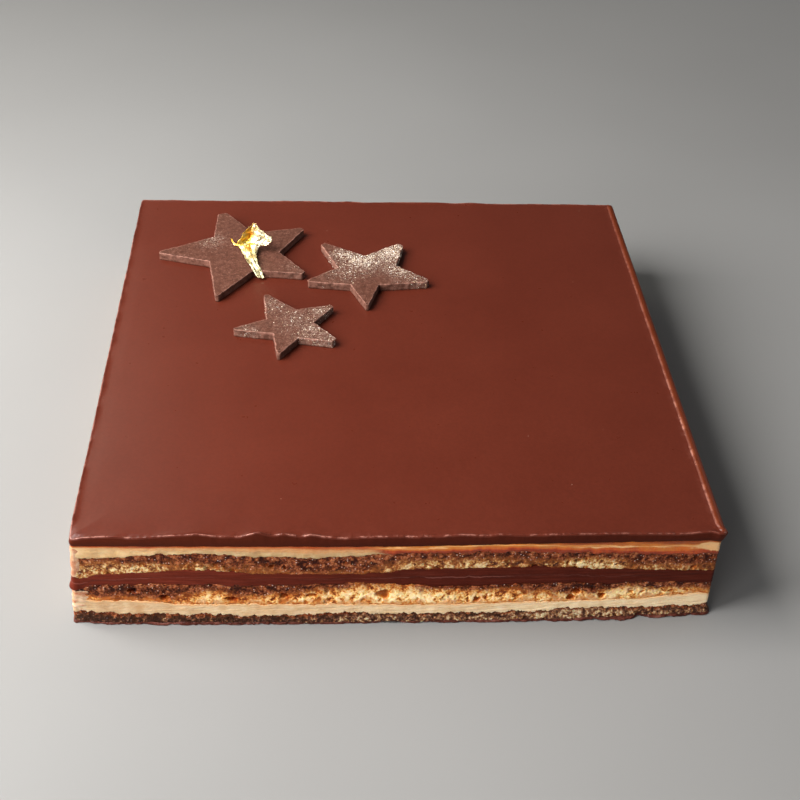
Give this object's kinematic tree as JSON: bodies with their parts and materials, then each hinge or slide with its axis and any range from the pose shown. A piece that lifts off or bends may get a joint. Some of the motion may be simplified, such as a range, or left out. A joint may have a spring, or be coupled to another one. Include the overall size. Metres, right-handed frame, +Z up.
{
  "type": "opera cake",
  "caption": "Low square layered chocolate and coffee cake with cut sides, a poured chocolate glaze, three chocolate stars and a flake of gold leaf.",
  "frame": {"origin": "centre of the footprint, on the surface the cake stands on", "axes": "+Z up; -Y is the front, the long view of the cut layers; +X to the right when looking at the front"},
  "size_m": [0.184, 0.1856, 0.0444],
  "materials": {
    "undercoat_chocolate": "thin dark chocolate, ragged and slightly bloomed",
    "bottom_sponge": "dark coffee-soaked almond sponge, open crumb",
    "lower_buttercream": "pale coffee buttercream, knife-cut, satin",
    "middle_sponge": "almond sponge, soaked brown above and pale below, open crumb",
    "ganache": "dark ganache, knife-cut, satin",
    "upper_sponge": "almond sponge, soaked brown above and pale below, open crumb",
    "upper_buttercream": "coffee buttercream with a caramel-coloured smear, glossy to the right",
    "glaze": "poured chocolate glaze, satin, set with a small ridge along its edge",
    "star_chocolate": "matte cut chocolate with a light dusting of pearl powder",
    "gold_leaf": "crumpled gold leaf, bright"
  },
  "bodies": {
    "root": {"base_coat": "undercoat_chocolate", "bottom_sponge": "bottom_sponge", "lower_buttercream": "lower_buttercream", "middle_sponge": "middle_sponge", "ganache": "ganache", "upper_sponge": "upper_sponge", "upper_buttercream": "upper_buttercream", "glaze": "glaze", "star_large": "star_chocolate", "star_medium": "star_chocolate", "star_small": "star_chocolate", "gold_leaf": "gold_leaf"}
  },
  "joints": []
}
